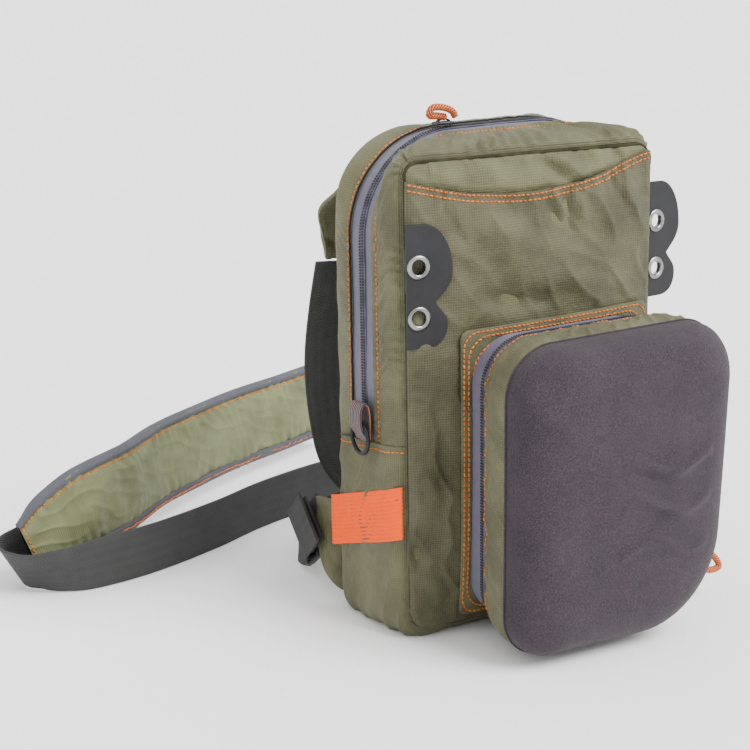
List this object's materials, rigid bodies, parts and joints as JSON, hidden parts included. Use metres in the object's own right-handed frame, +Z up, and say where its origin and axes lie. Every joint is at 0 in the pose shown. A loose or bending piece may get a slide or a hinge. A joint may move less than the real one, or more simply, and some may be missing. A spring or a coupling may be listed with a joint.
{
  "type": "fishing tackle sling bag",
  "caption": "Upright padded sling bag with a wrap-round main zip, moulded-shell front pocket, slip pocket, eyelet tabs, elastic loop, ring and a padded shoulder strap laid in a loop behind it",
  "frame": {"origin": "On the floor under the middle of the main body, on the flat base", "axes": "+Z up, front of the bag towards -Y, the strap loop towards +Y, the wearer's right-hand side of the picture towards +X"},
  "size_m": [0.3438, 0.4551, 0.273],
  "materials": {
    "olive_ripstop": "matte ripstop nylon, fine grid weave",
    "zip_tape": "woven lilac grey tape",
    "zip_coil": "black nylon coil",
    "slider_metal": "black painted zinc",
    "orange_cord": "braided orange cord with red and pale flecks",
    "shell_fabric": "fine knit over moulded foam, matte",
    "black_sheet": "smooth black coated sheet",
    "eyelet_metal": "nickel plated",
    "orange_elastic": "ribbed elastic",
    "striped_tape": "grey tape with orange and pale stripes",
    "black_plastic": "black moulded plastic",
    "webbing": "dark grey polypropylene webbing",
    "pad_foam": "closed cell foam",
    "pad_mesh": "grey spacer mesh",
    "binding": "slate grey binding tape"
  },
  "bodies": {
    "root": {"front_panel": "olive_ripstop", "slip_pocket_panel": "olive_ripstop", "back_panel": "olive_ripstop", "front_gusset_strip": "olive_ripstop", "rear_gusset_strip": "olive_ripstop", "lower_gusset": "olive_ripstop", "lower_wing": "olive_ripstop", "top_tab": "olive_ripstop", "pocket_flange": "olive_ripstop", "pocket_border": "olive_ripstop", "pad_cover": "olive_ripstop", "main_zip_tape": "zip_tape", "pocket_zip_tape": "zip_tape", "main_zip_coil": "zip_coil", "pocket_zip_coil": "zip_coil", "main_zip_slider": "slider_metal", "pocket_zip_slider": "slider_metal", "main_zip_pull": "orange_cord", "pocket_zip_pull": "orange_cord", "pocket_shell": "shell_fabric", "left_eyelet_tab": "black_sheet", "right_eyelet_tab": "black_sheet", "left_upper_eyelet": "eyelet_metal", "left_lower_eyelet": "eyelet_metal", "right_upper_eyelet": "eyelet_metal", "right_lower_eyelet": "eyelet_metal", "elastic_loop": "orange_elastic", "ring_tab": "striped_tape", "ring": "black_plastic", "strap_buckle": "black_plastic", "buckle_anchor": "webbing", "strap_upper": "webbing", "strap_lower": "webbing", "pad_foam": "pad_foam", "pad_backing": "pad_mesh", "pad_binding_upper": "binding", "pad_binding_lower": "binding"}
  },
  "joints": []
}
